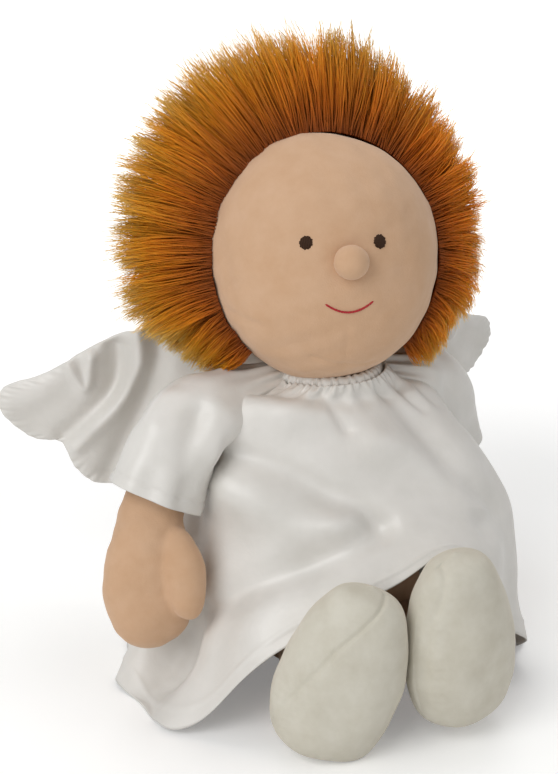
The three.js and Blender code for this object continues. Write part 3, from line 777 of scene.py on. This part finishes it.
def limb_rooms():
    """Balls along the arms and thumbs that the skirt lies against: middle, radius and how flat."""
    rooms = []
    for side, route in ARM_ROUTES.items():
        for share in np.linspace(0.36, 1, 16):
            hand = float(smooth_step(0.5, 0.75, share))
            radius = WRIST_RADIUS + (HAND_RADIUS - WRIST_RADIUS) * hand + CLOTH_GAP
            rooms.append((spline(route, [share])[0], radius, 1 - hand * (1 - HAND_FLAT)))
        root, tip = thumb_line(side)
        rooms += [(root + (tip - root) * share, THUMB_RADIUS + CLOTH_GAP, 1.0) for share in (0.3, 0.6, 0.9)]
    return rooms


def clear_of_arms(points):
    """Cloth lies against an arm instead of passing through it."""
    for middle, room, flat in limb_rooms():
        away = (points - middle) / [1, flat, 1]
        far = np.linalg.norm(away, axis=-1, keepdims=True)
        points = np.where(far < room, middle + away / np.maximum(far, 1e-6) * room * [1, flat, 1], points)
    points[..., 2] = np.maximum(points[..., 2], HEM_LIFT)
    return points


def moved_by_arms():
    """How far the arms push the skirt aside, on a grid of rows and sides, drawing the cloth beside along."""
    rows, sides = 48, 96
    v, u = np.meshgrid(np.linspace(0, 1, rows), np.arange(sides) / sides, indexing="ij")
    plain = draped(u.ravel(), v.ravel()).reshape(rows, sides, 3)
    moved = np.zeros_like(plain)
    for _ in range(60):
        own = clear_of_arms(plain + moved) - plain
        tall = np.pad(own, ((1, 1), (0, 0), (0, 0)), mode="edge")
        beside = tall[:-2] + tall[2:] + np.roll(own, 1, axis=1) + np.roll(own, -1, axis=1)
        moved = 0.5 * own + 0.5 * beside / 4
        moved[0] = 0
    return clear_of_arms(plain + moved) - plain


def on_grid(grid, u, v):
    """The value of a grid of rows and sides at places round and down the dress."""
    rows, sides = grid.shape[:2]
    across = (u % 1) * sides
    down = np.clip(v, 0, 1) * (rows - 1)
    left, top = np.floor(across).astype(int), np.minimum(np.floor(down).astype(int), rows - 2)
    a, d = (across - left)[:, None], (down - top)[:, None]
    left = left % sides
    right = (left + 1) % sides
    upper = grid[top, left] * (1 - a) + grid[top, right] * a
    lower = grid[top + 1, left] * (1 - a) + grid[top + 1, right] * a
    return upper * (1 - d) + lower * d


# Folds read from the photograph: points on the dress, width and height in mm
DRESS_FOLDS = [
    (
        [(-75, -25, 128), (-64, -36, 131), (-41, -47, 123), (-21, -58, 112), (-10, -63, 108), (-2, -69, 98)],
        7, 6.0,
    ),
    ([(-2, -69, 98), (-6, -71, 95), (-30, -72, 87), (-56, -65, 75), (-83, -43, 51)], 8, 6.0),
    ([(-72, -35, 116), (-57, -48, 107), (-40, -58, 100), (-24, -66, 98)], 13, -6.0),
    ([(19, -34, 151), (30, -41, 136), (44, -50, 117), (60, -54, 104), (68, -50, 91), (56, -62, 88)], 9, 4.5),
    ([(-39, -39, 151), (-9, -43, 146), (5, -50, 137)], 11, -2.5),
    ([(5, -50, 137), (32, -51, 120), (47, -54, 112)], 10, -3.0),
    ([(-48, -23, 153), (-59, -22, 139), (-70, -9, 122), (-80, -20, 84)], 7, 3.0),
    ([(-37, -23, 161), (-42, -30, 153), (-46, -38, 142)], 3.5, 2.2),
    ([(-20, -36, 161), (-17, -41, 152), (-12, -46, 143)], 3.5, 2.0),
    ([(25, -24, 160), (28, -31, 153), (37, -35, 146)], 3.0, 2.6),
    ([(34, -20, 160), (38, -26, 152), (48, -28, 144)], 3.0, 2.4),
]


def make_dress():
    """One loop of satin, gathered at the neckline, with a waved skirt, the photographed folds and a hem."""
    aside = moved_by_arms()

    def hung(u, v):
        return draped(u % 1, v) + on_grid(aside, u, v)

    def place(u, v):
        points = hung(u, v)
        step = 0.004
        across = hung(u + step, v) - hung(u - step, v)
        down = hung(u, np.minimum(v + step, 1)) - hung(u, np.maximum(v - step, 0))
        out = unit(np.cross(across, down))
        gathers = uneven_waves(u, DRESS_GATHERS, 1) * 0.9 * np.exp(-((v / 0.07) ** 2))
        fading = smooth_step(0, 0.08, v) * np.exp(-(((v - 0.08) / 0.13) ** 2))
        tucks = uneven_waves(u, DRESS_TUCKS, 2) * 1.2 * fading
        folds = uneven_waves(u, SKIRT_WAVES, 5) * 3.4 * smooth_step(0.3, 1, v) ** 1.5
        front = np.exp(-((np.minimum(u, 1 - u) / 0.16) ** 4))
        puff = 3.5 * np.exp(-(((v - 0.14) / 0.1) ** 2))
        height = puff + gathers + tucks + folds * (1 - 0.8 * front) + 1.1 * lumps(points, 40, 6)
        stitch = np.exp(-(((v - HEM_STITCH) / 0.006) ** 2))
        height = height - 0.5 * stitch + on_each(points, DRESS_FOLDS)
        return clear_of_arms(points + out * height[:, None])

    dress = surface("dress_satin", 230, 136, place)
    thickened(dress, SATIN_THICK, -1)
    return dressed(dress, white_satin, ["dress_front", "dress_back"], "torso")


def make_neckline():
    """The neckline is turned over the elastic, so it stands in small tight gathers under the chin."""
    section = [
        (21.5, 155), (22.0, 160), (23.0, 164), (24.8, 166),
        (26.6, 165.4), (27.8, 163), (28.0, 160), (27.5, 157),
    ]

    def place(u, v):
        line = spline(section, v)
        gathers = uneven_waves(u, 37, 1) * 0.5 + 0.25 * uneven_waves(u, 61, 3)
        radius = line[:, 0] + gathers * (0.25 + 0.75 * smooth_step(0.25, 0.6, v))
        height = line[:, 1] - 0.7 * gathers * smooth_step(0.2, 0.5, v) * (1 - smooth_step(0.6, 0.9, v))
        x = BODY_LEAN[0] + radius * np.sin(2 * math.pi * u)
        y = BODY_LEAN[1] - radius * np.cos(2 * math.pi * u)
        return np.stack([x, y, height], axis=-1)

    neckline = surface("neckline_gathers", 420, 36, place)
    thickened(neckline, FINE_SATIN_THICK, 0)
    dressed(neckline, white_satin, ["neckline_casing", "neckline_elastic"], None)
    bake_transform(neckline)
    return neckline


# Sleeves, set in from the neckline over the shoulder

SLEEVE_ROUTES = {
    "right": [(-29, -6, 158), (-62, -12, 149), (-86, -19, 139), (-99, -24, 125), (-107, -27, 110)],
    "left": [(11, -6, 158), (36, 2, 148), (53, 15, 135), (63, 25, 116), (68, 31, 96)],
}
SLEEVE_FOLDS = {
    "right": [
        ([(-86, -38, 158), (-92, -44, 138), (-100, -48, 116)], 7, -4.0),
        ([(-78, -30, 156), (-79, -40, 136), (-84, -44, 116)], 5, 2.5),
        ([(-97, -20, 162), (-112, -36, 140), (-119, -40, 124)], 6, 2.0),
    ],
    "left": [([(60, -8, 144), (74, 0, 128), (86, 10, 108)], 7, -3.0)],
}


def make_sleeve(side):
    """A raglan sleeve: gathered into the neckline, flat towards the body, full over the arm and hemmed.

    Its last part, past the edge share of v, is the hem turned back inside.
    """
    line = SLEEVE_ROUTES[side]
    steps = np.linspace(0, 1, OUTLINE_STEPS)
    pace = paced(line, OUTLINE_STEPS)
    whole = pace[-1]
    edge = 0.93
    radius = along_outline([(0, 9), (whole * 0.3, 19), (whole * 0.55, 25), (whole * 0.8, 24), (whole, 25)])
    outward = 1 if side == "right" else -1

    def place(u, v):
        outer = v < edge
        reach = np.where(outer, v / edge, 1 - (v - edge) / (1 - edge) * 0.14) * whole
        centre, _, sideways, ahead = along_route(line, np.interp(reach, pace, steps), 0.004)
        turn = 2 * math.pi * u
        puff = uneven_waves(u, 15, 7) * 1.2 * np.exp(-((reach / (whole * 0.25)) ** 2))
        hang = uneven_waves(u, 5, 9) * 1.8 * smooth_step(whole * 0.5, whole, reach)
        size = radius(reach) + puff + hang - np.where(outer, 0, 1.0)
        stitch = np.exp(-(((whole - reach) - SLEEVE_HEM) / 0.8) ** 2) * outer
        size = size - 0.55 * stitch
        inward = smooth_step(0, 1, -np.sin(turn) * outward)
        size = size * (1 - 0.34 * inward * (1 - 0.9 * smooth_step(whole * 0.5, whole * 0.85, reach)))
        x = size * np.sin(turn)
        y = size * np.cos(turn)
        points = centre + sideways * x[:, None] + ahead * y[:, None]
        height = 0.7 * lumps(points, 26, 31) + on_each(points, SLEEVE_FOLDS[side])
        return points + unit(points - centre) * height[:, None]

    sleeve = surface(f"sleeve_{side}_satin", 200, 120, place)
    thickened(sleeve, FINE_SATIN_THICK, -1)
    dressed(sleeve, white_satin, [f"sleeve_{side}"], None)
    end = Vector(spline(ARM_ROUTES[side], [0.3])[0]) * MM
    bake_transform(sleeve)
    return sleeve


# Wings

# The wing's edge from the top of its root, round its tip and back: shares of its length, heights in mm
WING_OUTLINE = [
    (0, 24), (0.2, 46), (0.42, 56), (0.64, 44), (0.84, 27), (0.99, 18), (1, 4),
    (0.9, -11), (0.79, -15), (0.74, -30), (0.64, -40), (0.4, -34), (0.2, -30), (0, -26),
]
WING_MIDDLE = np.array([0.46 * WING_LENGTH, 6])
WING_FOLDS = [
    ([(0.5, 54), (0.49, 36), (0.52, 24), (0.57, 12), (0.68, -4), (0.74, -14)], 6, 6.5),
    ([(0.58, 42), (0.59, 20), (0.66, 5), (0.77, -11)], 6, -5.5),
    ([(0.75, 33), (0.69, 20), (0.67, 36)], 3.5, 3.5),
    ([(0.42, 54), (0.46, 25), (0.53, -3), (0.62, -32)], 7, -5.0),
    ([(0.78, 26), (0.88, 14), (0.97, 8)], 7, 2.0),
    ([(0.2, 34), (0.32, 4), (0.42, -30)], 8, 3.0),
]


def make_wing(side):
    """A padded wing, thick in its middle, puckered along its rim and folded as the photograph shows."""
    sweep = math.radians(WING_SWEEP[side])
    mirror = -1 if side == "right" else 1
    out = np.array([mirror * math.cos(sweep), math.sin(sweep), 0])
    front = np.array([mirror * math.sin(sweep), -math.cos(sweep), 0])
    root = np.array([mirror * WING_ROOT[0], WING_ROOT[1], WING_ROOT[2]])
    outline = np.array(WING_OUTLINE) * [WING_LENGTH, 1]
    folds = [([(a * WING_LENGTH, b, 0) for a, b in line], width, tall) for line, width, tall in WING_FOLDS]

    def place(u, v):
        rim = spline(outline, u, closed=True)
        share = np.sin(np.pi * v)
        face = np.cos(np.pi * v)
        flat = WING_MIDDLE + (rim - WING_MIDDLE) * share[:, None]
        thick = np.sign(face) * np.sqrt(np.abs(face)) * WING_THICK / 2 * 0.95
        near_rim = np.exp(-(((1 - share) / 0.07) ** 2))
        thick = thick * (1 + 0.15 * near_rim * uneven_waves(u, 60, 12))
        spots = np.stack([flat[:, 0], flat[:, 1], np.zeros(len(u))], axis=-1)
        thick = thick * (1 + 0.1 * lumps(spots, 34, 15))
        bend = 1.2 * lumps(spots, 60, 13) + 0.35 * near_rim * uneven_waves(u, 34, 14)
        bend = (bend + on_each(spots, folds)) * smooth_step(0, 25, flat[:, 0])
        return root + out * flat[:, :1] + UP * flat[:, 1:] + front * (thick + bend)[:, None]

    wing = surface(f"wing_{side}_satin", 300, 160, place)
    return dressed(wing, white_satin, [f"wing_{side}_cover", f"wing_{side}_wadding"], f"wing_{side}")


def make_wing_tab():
    """A small padded block with soft corners, as large as its solid."""
    low, high = (np.array(corner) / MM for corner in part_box("wing_tab"))
    middle, half = (low + high) / 2, (high - low) / 2
    tab = ball("wing_tab_satin", tuple(half), 4)

    def square(points):
        share = points / half
        corner = np.sign(share) * np.abs(share) ** 0.5
        return middle + corner * half * 0.98

    reshaped(tab, square)
    return dressed(tab, white_satin, ["wing_tab"], "torso")


# Hair: long fur on a knitted backing, in locks that lean back from the hairline

HAIR_LOCKS = 1150
HAIR_PIECES = 6
HAIR_STRANDS = 7600
HAIRLINE = -8
SIDE_REACH = 56
TOP_REACH = 69
BACK_REACH = 49
STRAND_WIDTH = 0.72
NAPE = 163
NAPE_RISE = 8

# How far locks and strands stray from their direction, as a share, and how far they bend, in mm
LOCK_STRAY = 0.11
STRAND_STRAY = 0.1
LOCK_BEND = 2.2
STRAND_BEND = 2.6

# The most that a strand is cut short, and how strongly a lock draws its strands together, as shares
STRAND_CUT = 0.22
LOCK_PULL = (0.3, 0.85)


def scattered(count, seed):
    """Even places for roots on the part of the head that the fur covers, in mm from its middle."""
    rng = np.random.default_rng(seed)
    order = np.arange(count * 4) + rng.uniform(0, 1)
    rise = 1 - 2 * (order + 0.5) / (count * 4)
    turn = order * math.pi * (1 + 5**0.5)
    flat = np.sqrt(np.maximum(0, 1 - rise**2))
    ways = np.stack([flat * np.cos(turn), flat * np.sin(turn), rise], axis=-1)
    ways = unit(ways + rng.normal(size=ways.shape) * 0.6 / math.sqrt(count))
    roots = ways * (np.array(HEAD_SIZE) / 2 + 0.6)
    height = on_neck(roots)[:, 2]
    back = on_neck(roots)[:, 1]
    ragged = 1.5 * lumps(roots, 9, seed)
    forward = 4 * smooth_step(0.3, 0.9, ways[:, 0])
    lowest = NAPE + 7 + back * math.tan(math.radians(NAPE_RISE)) + 12 * (1 - smooth_step(-20, 15, back))
    kept = (roots[:, 1] > HAIRLINE + ragged - forward) & (height > lowest)
    chosen = roots[kept]
    return chosen[rng.permutation(len(chosen))[:count]]


def strand_path(roots, rng, stray, cut=0.0):
    """The middle and the tip of each strand, which rises from its root, then leans to the back of the head.

    stray is how far its direction wanders, and cut the most that it is cut short, both as shares.
    """
    ways = unit(roots / (np.array(HEAD_SIZE) / 2) ** 2)
    at_back = smooth_step(0, 0.95, ways[:, 1])
    upward = smooth_step(-0.3, 1, ways[:, 2])
    reach = SIDE_REACH + (TOP_REACH - SIDE_REACH) * upward
    reach = reach * (1 - 0.17 * smooth_step(0.2, 0.9, ways[:, 0]))
    reach = reach * (1 - 0.5 * (1 - smooth_step(-0.45, -0.12, ways[:, 2])) * (1 - at_back))
    reach = (reach + (BACK_REACH - reach) * at_back)[:, None]
    lean = (1.02 - 0.22 * upward)[:, None] * (1 - ways[:, 1:2])
    aim = unit(ways + lean * np.array([0, 1, 0]) + rng.normal(size=ways.shape) * stray)
    start = unit(ways + 0.3 * lean * np.array([0, 1, 0]) + rng.normal(size=ways.shape) * stray * 0.5)
    reach = reach * (1 + rng.normal(size=(len(roots), 1)) * stray * 0.9)
    reach = reach * (1 - cut * rng.uniform(0, 1, (len(roots), 1)) ** 2)
    tips = roots + aim * reach
    middles = roots + start * reach * 0.5
    tips[:, 2] -= 4 * (1 - np.abs(ways[:, 2])) + 6 * at_back + 9 * (1 - smooth_step(-0.4, 0.2, ways[:, 2]))
    return middles, tips


def combed(name, strands, seed):
    """A piece of the pile: one three-sided tapered strand, stamped along every strand's own curve."""
    bm = bmesh.new()
    bmesh.ops.create_cone(bm, cap_ends=False, segments=3, radius1=1, radius2=0.25, depth=1)
    bmesh.ops.translate(bm, verts=bm.verts, vec=(0, 0, 0.5))
    for cut in (0.3, 0.55, 0.8):
        whole = bm.verts[:] + bm.edges[:] + bm.faces[:]
        bmesh.ops.bisect_plane(bm, geom=whole, plane_co=(0, 0, cut), plane_no=(0, 0, 1))
    bm.verts.index_update()
    stamp = np.array([v.co for v in bm.verts])
    sides = np.array([[v.index for v in f.verts] for f in bm.faces])
    bm.free()

    rng = np.random.default_rng(seed)
    roots, middles, tips, tones_and_side_light = strands
    t = stamp[:, 2][None, :, None]
    line = (1 - t) ** 2 * roots[:, None] + 2 * t * (1 - t) * middles[:, None] + t**2 * tips[:, None]
    along = unit(tips - roots)
    across = unit(np.cross(along, rng.normal(size=along.shape)))
    beside = np.cross(along, across)
    wide = STRAND_WIDTH / 2 * rng.uniform(0.6, 1.2, (len(roots), 1, 1))
    points = line + wide * (across[:, None] * stamp[None, :, :1] + beside[:, None] * stamp[None, :, 1:2])
    points = on_neck(points.reshape(-1, 3))
    faces = (sides[None] + (np.arange(len(roots)) * len(stamp))[:, None, None]).reshape(-1, sides.shape[1])
    mesh = bpy.data.meshes.new(name)
    mesh.from_pydata(points, [], faces)
    layer = mesh.uv_layers.new(name="UVMap")
    spot = np.stack([np.repeat(tones_and_side_light, len(stamp)), np.tile(stamp[:, 2], len(roots))], axis=-1)
    corner = np.empty(len(mesh.loops), dtype=np.int64)
    mesh.loops.foreach_get("vertex_index", corner)
    layer.data.foreach_set("uv", spot[corner].ravel())
    return finished(name, mesh)


def cut_below(bm, place, up):
    """Takes away what lies behind the plane through a place in mm whose upper side is up."""
    whole = bm.verts[:] + bm.edges[:] + bm.faces[:]
    bmesh.ops.bisect_plane(bm, geom=whole, plane_co=Vector(place) * MM, plane_no=up, clear_inner=True)


def make_backing():
    """The fur's canvas over the back of the head, cut along the face, the nape and under the chin."""
    backing = ball("hair_backing_knit", tuple(np.array(HEAD_SIZE) / 2 + 0.9), 5)
    placed = HEAD_PLACE.copy()
    placed.translation = HEAD_PLACE.translation * MM
    slope = math.radians(NAPE_RISE)
    under_chin = (0, -20, 187)
    bm = bmesh.new()
    bm.from_mesh(backing.data)
    cut_below(bm, (0, 3, 0), (0, 1, 0))
    bmesh.ops.transform(bm, matrix=placed, verts=bm.verts)
    cut_below(bm, (0, 0, NAPE + 4), (0, -math.sin(slope), math.cos(slope)))
    cut_below(bm, under_chin, (0, 0.35, 0.94))
    bmesh.ops.solidify(bm, geom=bm.faces[:], thickness=-CANVAS_THICK * MM)
    bm.to_mesh(backing.data)
    bm.free()
    dressed(backing, fur_canvas, ["hair_backing"], "head")


def nearest(points, centres):
    """The index of the centre that is nearest to each point."""
    apart = np.sum(points**2, axis=1)[:, None] - 2 * points @ centres.T + np.sum(centres**2, axis=1)[None]
    return np.argmin(apart, axis=1)


def make_pile():
    """The pile: every strand leans to the guide of its lock, and the low tips stay above the nape."""
    rng = np.random.default_rng(21)
    guides = scattered(HAIR_LOCKS, 22)
    _, guide_tips = strand_path(guides, rng, LOCK_STRAY)
    guide_tones = rng.uniform(0, 1, len(guides))
    roots = scattered(HAIR_PIECES * HAIR_STRANDS, 23)
    middles, tips = strand_path(roots, rng, STRAND_STRAY, STRAND_CUT)
    lock = np.concatenate([nearest(part, guides) for part in np.array_split(roots, 40)])
    pull = rng.uniform(*LOCK_PULL, (len(roots), 1))
    share = np.linalg.norm(tips - roots, axis=1) / np.linalg.norm(guide_tips[lock] - guides[lock], axis=1)
    aims = guides[lock] + (guide_tips[lock] - guides[lock]) * np.minimum(share, 1)[:, None]
    tips = tips + (aims - tips) * pull
    bends = rng.normal(size=guides.shape) * LOCK_BEND
    middles = middles + bends[lock] + rng.normal(size=middles.shape) * STRAND_BEND
    middles = middles + (guides[lock] * 0.5 + guide_tips[lock] * 0.5 - middles) * pull * 0.25
    low = NAPE + 1 + on_neck(tips)[:, 1] * math.tan(math.radians(NAPE_RISE)) + rng.uniform(0, 7, len(tips))
    tips[:, 2] += np.maximum(0, low - on_neck(tips)[:, 2])
    tones_and_side_light = 0.5 * guide_tones[lock] + 0.5 * rng.uniform(0, 1, len(roots))
    # Painted light: strands rooted on the doll's left side get up to 0.4 more tone, so that side of the mane
    # is drawn lighter, as if lit.
    tones_and_side_light = tones_and_side_light + 0.4 * smooth_step(0.3, 0.9, unit(roots)[:, 0])
    for i in range(HAIR_PIECES):
        part = slice(i, None, HAIR_PIECES)
        name = f"hair_pile_{i + 1}"
        pile = combed(name, (roots[part], middles[part], tips[part], tones_and_side_light[part]), 30 + i)
        dressed(pile, ginger_fur, ["hair_pile"], "head")


make_head()
make_backing()
make_pile()
make_nose()
make_eyes()
make_mouth()
make_body()
make_neck()
for side in ("right", "left"):
    make_arm(side)
    make_leg(side)
    make_foot(side)
    make_sleeve(side)
    make_wing(side)
make_dress()
make_neckline()
make_wing_tab()


# Camera, light and floor

CAMERA_PLACE = (-292.1, -848.5, 474.6)
CAMERA_AZIMUTH = -17
CAMERA_RISE = 20
CAMERA_LENS = 84.97
LAMP_AIM = (0, 0, 0.15)
WORLD_LIGHT = 0.38
WHITE = (1, 1, 1, 1)


def make_camera():
    """The photograph's camera, as fitted to it."""
    data = bpy.data.cameras.new("camera")
    data.lens = CAMERA_LENS
    data.sensor_width = 36
    data.clip_start = 0.05
    data.clip_end = 50
    camera = bpy.data.objects.new("camera", data)
    camera.location = Vector(CAMERA_PLACE) * MM
    camera.rotation_euler = (math.radians(90 - CAMERA_RISE), 0, math.radians(CAMERA_AZIMUTH))
    bpy.context.scene.collection.objects.link(camera)
    bpy.context.scene.camera = camera


def make_lamp(name, place, size, power):
    """A soft square lamp that shines at the middle of the doll. Place is in metres."""
    data = bpy.data.lights.new(name, "AREA")
    data.size = size
    data.energy = power
    lamp = bpy.data.objects.new(name, data)
    lamp.location = place
    aim = Vector(LAMP_AIM) - Vector(place)
    lamp.rotation_euler = aim.to_track_quat("-Z", "Y").to_euler()
    bpy.context.scene.collection.objects.link(lamp)


def make_room():
    """A floor, and a world that the camera, mirrors and glass see as white while it lights the doll less."""
    bm = bmesh.new()
    bmesh.ops.create_grid(bm, x_segments=1, y_segments=1, size=8)
    mesh = mesh_of(bm, "floor")
    floor = bpy.data.objects.new("floor", mesh)
    bpy.context.scene.collection.objects.link(floor)
    material, tree, shader = new_material("pale_floor", Base_Color=linear("F7F7F6"), Roughness=0.9)
    # The floor glows a little for the camera alone, more the further off, so that it is white to the back
    where = node(tree, "ShaderNodeTexCoord").outputs["Object"]
    away = node(tree, "ShaderNodeVectorMath", {"operation": "LENGTH"}, i0=where)
    glow = node(tree, "ShaderNodeMapRange", i0=away.outputs["Value"], i1=0.3, i2=1.3, i3=0.2, i4=1.0)
    seen = node(tree, "ShaderNodeLightPath").outputs["Is Camera Ray"]
    power = node(tree, "ShaderNodeMath", {"operation": "MULTIPLY"}, i0=glow.outputs[0], i1=seen)
    shader.inputs["Emission Color"].default_value = WHITE
    tree.links.new(power.outputs[0], shader.inputs["Emission Strength"])
    mesh.materials.append(material)

    world = bpy.data.worlds.new("studio")
    bpy.context.scene.world = world
    world.use_nodes = True
    tree = world.node_tree
    back = tree.nodes["Background"]
    rays = node(tree, "ShaderNodeLightPath").outputs
    either = {"operation": "MAXIMUM"}
    seen = node(tree, "ShaderNodeMath", either, i0=rays["Is Camera Ray"], i1=rays["Is Glossy Ray"])
    seen = node(tree, "ShaderNodeMath", either, i0=seen.outputs[0], i1=rays["Is Transmission Ray"])
    power = node(tree, "ShaderNodeMapRange", i0=seen.outputs[0], i3=WORLD_LIGHT, i4=1.0)
    tree.links.new(power.outputs[0], back.inputs["Strength"])
    back.inputs["Color"].default_value = WHITE


make_camera()
make_lamp("window", (-1.5, -1.1, 1.4), 1.5, 26)
make_lamp("fill", (1.4, -1.2, 0.9), 1.5, 3.5)
make_lamp("top", (0.2, 0.7, 1.7), 1.4, 10)
make_room()
bpy.context.scene.view_settings.view_transform = "Standard"
